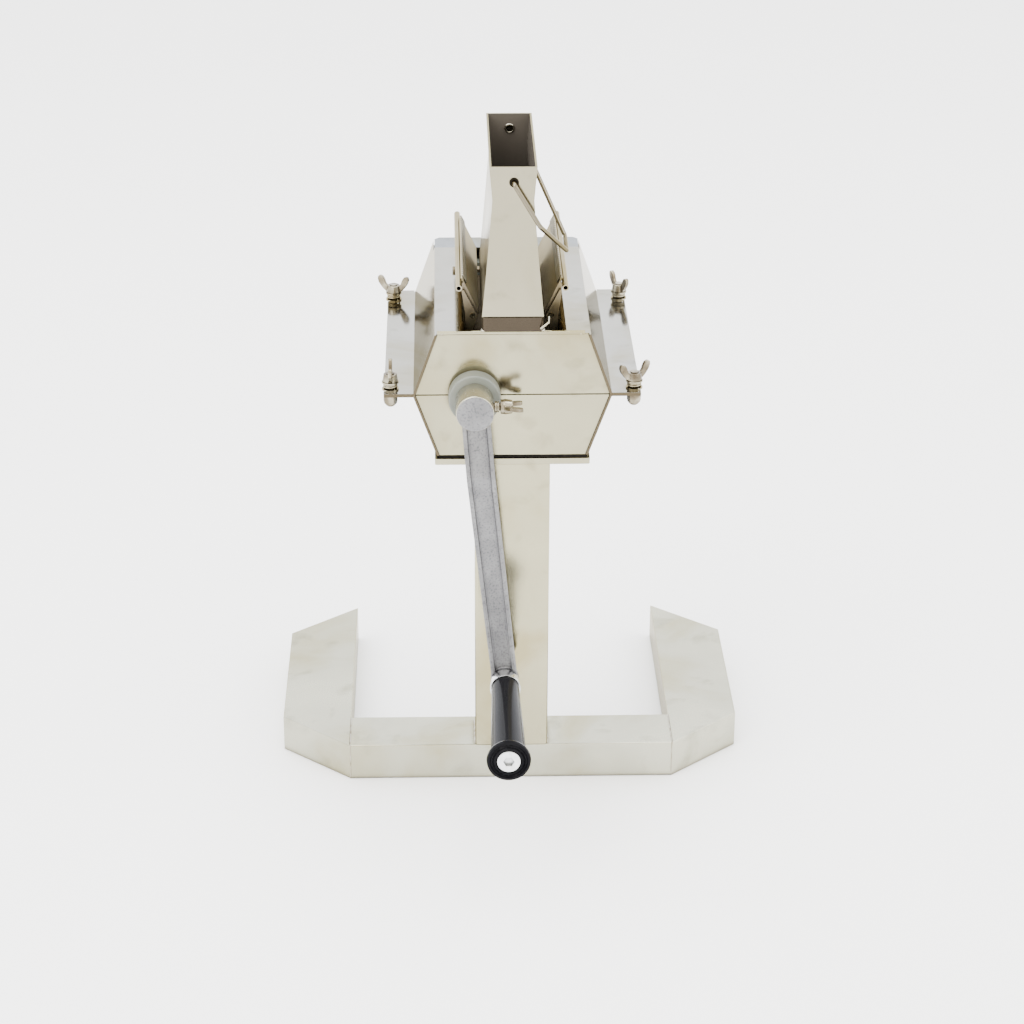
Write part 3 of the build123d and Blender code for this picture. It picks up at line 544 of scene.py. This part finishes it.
def paint_nodes(made):
    """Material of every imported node."""
    groups = {
        "front": "lower_front_plate upper_front_plate front_lip mounting_plate",
        "collar": "collar",
        "flank": "lower_left_shell lower_right_shell rear_cross_strip",
        "shell": "upper_left_shell upper_right_shell",
        "guide": "left_guide_plate right_guide_plate",
        "base": "base_front_bar base_left_outrigger base_right_outrigger",
        "column": "column",
        "plain": "lower_rear_plate upper_rear_plate lower_floor left_scraper right_scraper",
        "inner": "guide_brackets left_guide_straps right_guide_straps collar_cross_bar",
        "comb": "left_comb_strip right_comb_strip",
        # The eyelets take the near-black painted shade of the bail holes.
        "dark": "pivot_eyelets",
        "roller": "left_roller right_roller",
        "wire": "left_guide_rod right_guide_rod guide_pins clamp_washers",
        "bail": "bail",
        "clip": "hopper_clip",
        "nut": "mounting_bolts mounting_nuts clamp_bolts clamp_springs hub_wing_screw "
               "wing_nut_front_left wing_nut_front_right wing_nut_rear_left wing_nut_rear_right",
        "arm": "crank_arm",
        "turned": "crank_shaft right_shaft drive_gear driven_gear drive_gear_ring driven_gear_ring",
        "bright": "grip_bolt grip_ring",
        "white": "front_bush front_bearing_plate rear_bearing_plate",
        "black": "grip",
        "rubber": "mount_gasket",
        "hopper": "hopper",
    }
    for key, names in groups.items():
        for name in names.split():
            paint(nodes[name], made[key])


# ---- pieces -------------------------------------------------------------
def new_object(name, mesh_data, shader, slot_name, body, *replaced):
    """Finish a piece: link it, paint it and let it ride on its body."""
    obj = bpy.data.objects.new(name, mesh_data)
    bpy.context.scene.collection.objects.link(obj)
    paint(obj, shader)
    for polygon in mesh_data.polygons:
        polygon.use_smooth = True
    if replaced:
        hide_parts(*replaced)
    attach(obj, body)


def softened(node, voxel, rounds, shader, slot_name, body):
    """Cast version of a node: its shape with every edge rounded off."""
    name = "cast_" + node
    copy = bpy.data.objects.new(name + "_shape", nodes[node].data.copy())
    bpy.context.scene.collection.objects.link(copy)
    remesh = copy.modifiers.new("round", "REMESH")
    remesh.mode = "VOXEL"
    remesh.voxel_size = voxel
    smooth = copy.modifiers.new("smooth", "SMOOTH")
    smooth.factor, smooth.iterations = 0.5, rounds
    graph = bpy.context.evaluated_depsgraph_get()
    shaped = bpy.data.meshes.new_from_object(copy.evaluated_get(graph))
    bpy.data.objects.remove(copy)
    new_object(name, shaped, shader, slot_name, body, node)


def castings(made):
    """Crank arm, wing nuts and hub screw with rounded edges."""
    softened("crank_arm", ARM_VOXEL, ARM_ROUNDS, made["arm"], "cast_aluminium", "crank")
    for name in CORNERS:
        softened("wing_nut_" + name, NUT_VOXEL, NUT_ROUNDS, made["nut"], "stainless_hardware", "nut_" + name)
    softened("hub_wing_screw", NUT_VOXEL, NUT_ROUNDS, made["nut"], "stainless_hardware", "hub_screw")


def ring_of_vertices(work, centre, side, up, radius, sides):
    """Vertices on a circle round a centre, in a bmesh."""
    ring = []
    for step in range(sides):
        angle = 2 * pi * step / sides
        ring.append(work.verts.new(centre + (side * cos(angle) + up * sin(angle)) * radius))
    return ring


def tube(points, radius_at, sides=WIRE_SIDES, closed=False):
    """Mesh tube along points whose radius may vary with the step."""
    work = bmesh.new()
    rings, count = [], len(points)
    side = None
    for index, point in enumerate(points):
        after = points[(index + 1) % count] if closed else points[min(index + 1, count - 1)]
        before = points[index - 1] if closed or index else points[0]
        along = (after - before).normalized()
        if side is None:
            side = along.orthogonal().normalized()
        side = (side - along * side.dot(along)).normalized()
        rings.append(ring_of_vertices(work, point, side, along.cross(side), radius_at(index), sides))
    pairs = list(zip(rings, rings[1:])) + ([(rings[-1], rings[0])] if closed else [])
    for first, second in pairs:
        for step in range(sides):
            following = (step + 1) % sides
            work.faces.new((first[step], first[following], second[following], second[step]))
    if not closed:
        work.faces.new(rings[0][::-1])
        work.faces.new(rings[-1])
    bmesh.ops.recalc_face_normals(work, faces=work.faces)
    result = bpy.data.meshes.new("tube")
    work.to_mesh(result)
    work.free()
    return result


def join(name, meshes):
    """Several meshes as one."""
    work = bmesh.new()
    for part in meshes:
        work.from_mesh(part)
    result = bpy.data.meshes.new(name)
    work.to_mesh(result)
    work.free()
    return result


def helix(centre, bottom, top, radius, turns, steps):
    """Points of a coil about a vertical axis, with a number of steps to a turn."""
    total = int(turns * steps)
    points = []
    for index in range(total + 1):
        part = index / total
        angle = 2 * pi * turns * part
        x, y = centre.x + radius * cos(angle), centre.y + radius * sin(angle)
        points.append(Vector((x, y, bottom + (top - bottom) * part)))
    return points


def circle(centre, first, second, radius, steps):
    """Points round a centre in the plane of two directions."""
    points = []
    for step in range(steps):
        angle = 2 * pi * step / steps
        points.append(centre + (first * cos(angle) + second * sin(angle)) * radius)
    return points


def stud_centres():
    """Centre of each clamp stud, from its wing nut."""
    centres = []
    for name in CORNERS:
        low, high = box_of("wing_nut_" + name)
        centres.append((low + high) / 2)
    return centres


def clamp_springs(made):
    """Coil spring round each clamp stud."""
    low, high = box_of("clamp_springs")
    bottom, top = low.z + SPRING_WIRE, high.z - SPRING_WIRE
    coils = []
    for centre in stud_centres():
        path = helix(centre, bottom, top, SPRING_RADIUS, SPRING_TURNS, SPRING_STEPS)
        coils.append(tube(path, lambda index: SPRING_WIRE))
    new_object("clamp_coil_springs", join("clamp_coil_springs", coils), made["wire"], "stainless_hardware",
               "stand", "clamp_springs")


def eyelet_lips(made):
    """Rolled lip of each bail eyelet on the inner faces of the hopper."""
    low, high = box_of("pivot_eyelets")
    middle = (low + high) / 2
    rings = []
    for y in (low.y + LIP_INSET, high.y - LIP_INSET):
        path = circle(Vector((middle.x, y, middle.z)), AXIS_X, AXIS_Z, LIP_RADIUS, LIP_STEPS)
        rings.append(tube(path, lambda index: LIP_WIRE, closed=True))
    new_object("eyelet_lips", join("eyelet_lips", rings), made["clip"], "stainless_hardware", "hopper")


def stud_threads(made):
    """Thread crests on the free end of each stud."""
    top = box_of("clamp_bolts")[1].z
    start = box_of("wing_nut_front_left")[0].z + NUT_BODY
    turns = (top - start) / THREAD_PITCH
    crests = []
    for centre in stud_centres():
        path = helix(centre, start, top - THREAD_PITCH / 2, THREAD_RADIUS, turns, THREAD_STEPS)
        crests.append(tube(path, lambda index: THREAD_CREST, CREST_SIDES))
    new_object("stud_threads", join("stud_threads", crests), made["nut"], "stainless_hardware", "stand")


def hub_screw_rings(made):
    """Spring rings between the hub and the wings of its screw."""
    low, high = box_of("hub_wing_screw")
    middle = (low + high) / 2
    start = box_of("crank_shaft")[1].x + HUB_WALL + FIRST_RING
    rings = []
    for number in range(RINGS):
        centre = Vector((start + RING_PITCH * number, middle.y, middle.z))
        path = circle(centre, AXIS_Y, AXIS_Z, RING_RADIUS, RING_STEPS)
        rings.append(tube(path, lambda index: RING_WIRE, closed=True))
    new_object("hub_screw_spring", join("hub_screw_spring", rings), made["wire"], "stainless_hardware",
               "hub_screw")


# ---- welds --------------------------------------------------------------
def bead(corners, radius, seed):
    """Weld bead through corner points: a low, rippled ridge."""
    points = []
    for first, second in zip(corners, corners[1:]):
        steps = max(3, int((second - first).length / BEAD_STEP))
        points += [first.lerp(second, step / steps) for step in range(steps)]
    points.append(corners[-1])

    def swell(index):
        """Radius at a step: tapered ends, slow wobble and fine ripple."""
        wobble = WOBBLE * noise.noise(Vector((index * WOBBLE_RATE, seed, 0)))
        ripple = RIPPLE * sin(index * RIPPLE_RATE)
        ends = min(1.0, (index + 1) / TAPER_STEPS, (len(points) - index) / TAPER_STEPS)
        return radius * ends * (MEAN_SWELL + wobble + ripple)
    return tube(points, swell)


def bar_seams():
    """Seams where the outriggers meet the front bar."""
    low, high = box_of("base_front_bar")
    seams = []
    for side, x in enumerate((low.x, high.x)):
        corners = [Vector((x, high.y, high.z)), Vector((x, low.y, high.z)), Vector((x, low.y, low.z + MM))]
        seams.append(bead(corners, SEAM_BEAD, side))
    return seams


def column_foot():
    """Seam round the sides and back of the column's foot."""
    low, high = box_of("column")
    front = low.y + 2 * MM
    corners = [Vector((low.x, front, low.z)), Vector((low.x, high.y, low.z)),
               Vector((high.x, high.y, low.z)), Vector((high.x, front, low.z))]
    return bead(corners, FOOT_BEAD, FOOT_SEED)


def collar_corners():
    """Short beads round the collar's two front corners."""
    low, high = box_of("collar")
    beads = []
    for side, (x, inward) in enumerate(((low.x, 5 * MM), (high.x, -5 * MM))):
        corners = [Vector((x, low.y + 7 * MM, low.z)), Vector((x, low.y + 1.5 * MM, low.z)),
                   Vector((x + inward, low.y + 0.6 * MM, low.z))]
        beads.append(bead(corners, COLLAR_BEAD, side + COLLAR_SEED))
    return beads


def lip_ends():
    """Blobs at the two ends of the front lip."""
    low, high = box_of("front_lip")
    z = low.z + 0.6 * MM
    beads = []
    for side, (x, inward) in enumerate(((low.x, 7 * MM), (high.x, -5 * MM))):
        corners = [Vector((x, low.y + 1.2 * MM, z)), Vector((x + inward, low.y + 0.6 * MM, z))]
        beads.append(bead(corners, LIP_BEAD, side + LIP_SEED))
    return beads


def welds(made):
    """Beads where the stand, the lip and the collar are welded."""
    beads = [*bar_seams(), column_foot(), *collar_corners(), *lip_ends()]
    new_object("weld_beads", join("weld_beads", beads), made["weld"], "stainless_sheet", "stand")


# ---- studio -------------------------------------------------------------
def floor():
    """Plain pale floor just under the feet."""
    bpy.ops.mesh.primitive_plane_add(size=40, location=(0, 0, -0.4 * MM))
    plane = bpy.context.object
    plane.name = "floor"
    pale = Shader("pale_floor", NO_METAL, 0.6)
    pale.colour(pale.ramp(pale.noise(2.0), [(0.3, (0.94, 0.94, 0.94)), (0.7, (0.96, 0.96, 0.96))]))
    paint(plane, pale)


def surround():
    """Bright surround, cool behind and warm in front, with soft patches for the steel to mirror."""
    world = bpy.data.worlds.new("surround")
    bpy.context.scene.world = world
    world.use_nodes = True
    tree = world.node_tree
    add, link = tree.nodes.new, tree.links.new
    direction = add("ShaderNodeTexCoord").outputs["Generated"]
    split = add("ShaderNodeSeparateXYZ")
    link(direction, split.inputs["Vector"])
    spread = add("ShaderNodeMapRange")
    spread.inputs["From Min"].default_value = -1.0
    link(split.outputs["Y"], spread.inputs["Value"])
    tint = add("ShaderNodeValToRGB")
    warm, cool = (0.92, 0.88, 0.80), (1.0, 1.02, 1.06)
    fill_ramp(tint.color_ramp, (
        (0.0, warm), (0.35, (0.86, 0.84, 0.80)), (0.6, (0.97, 0.98, 1.0)), (1.0, cool)))
    link(spread.outputs["Result"], tint.inputs["Fac"])
    patches = add("ShaderNodeTexNoise")
    patches.inputs["Scale"].default_value = 3.2
    patches.inputs["Detail"].default_value = 2.0
    link(direction, patches.inputs["Vector"])
    level = add("ShaderNodeMapRange")
    for name, number in (("From Min", 0.36), ("From Max", 0.6), ("To Min", 0.76), ("To Max", 1.06)):
        level.inputs[name].default_value = number
    link(patches.outputs["Fac"], level.inputs["Value"])
    shade = add("ShaderNodeVectorMath")
    shade.operation = "SCALE"
    link(tint.outputs["Color"], shade.inputs[0])
    link(level.outputs["Result"], shade.inputs["Scale"])
    background = tree.nodes["Background"]
    link(shade.outputs["Vector"], background.inputs["Color"])
    background.inputs["Strength"].default_value = 4.4


def lamp(name, place, size, power):
    """Soft square lamp that looks at the middle of the press."""
    target = Vector((0, 0, 0.25))
    data = bpy.data.lights.new(name, "AREA")
    data.size, data.energy = size, power
    obj = bpy.data.objects.new(name, data)
    obj.location = place
    obj.rotation_euler = (target - Vector(place)).to_track_quat("-Z", "Y").to_euler()
    bpy.context.scene.collection.objects.link(obj)


def studio():
    """Floor, surround and lamps."""
    floor()
    surround()
    lamp("key_lamp", (-1.4, -1.0, 2.2), 1.6, 55.0)
    lamp("fill_lamp", (1.8, -0.6, 1.6), 1.4, 24.0)
    lamp("top_lamp", (0.0, 0.5, 2.6), 2.0, 55.0)


def camera():
    """Camera above the crank side, looking down by a little over a quarter of a right angle."""
    pitch, yaw, roll = radians(25.39), radians(1.6), radians(0.22)
    forward = Vector((sin(yaw) * cos(pitch), cos(yaw) * cos(pitch), -sin(pitch)))
    right = Vector((cos(yaw), -sin(yaw), 0))
    up = right.cross(forward)
    right, up = right * cos(roll) + up * sin(roll), up * cos(roll) - right * sin(roll)
    data = bpy.data.cameras.new("photo_camera")
    data.lens, data.sensor_width, data.clip_end = 93.64, 36.0, 60.0
    eye = bpy.data.objects.new("photo_camera", data)
    place = Matrix((right, up, -forward)).transposed().to_4x4()
    place.translation = Vector((-0.054, -1.950, 1.1606))
    eye.matrix_world = place
    bpy.context.scene.collection.objects.link(eye)
    bpy.context.scene.camera = eye


def main():
    """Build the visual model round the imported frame."""
    camera()
    studio()
    made = make_materials()
    paint_nodes(made)
    castings(made)
    clamp_springs(made)
    eyelet_lips(made)
    stud_threads(made)
    hub_screw_rings(made)
    welds(made)


main()
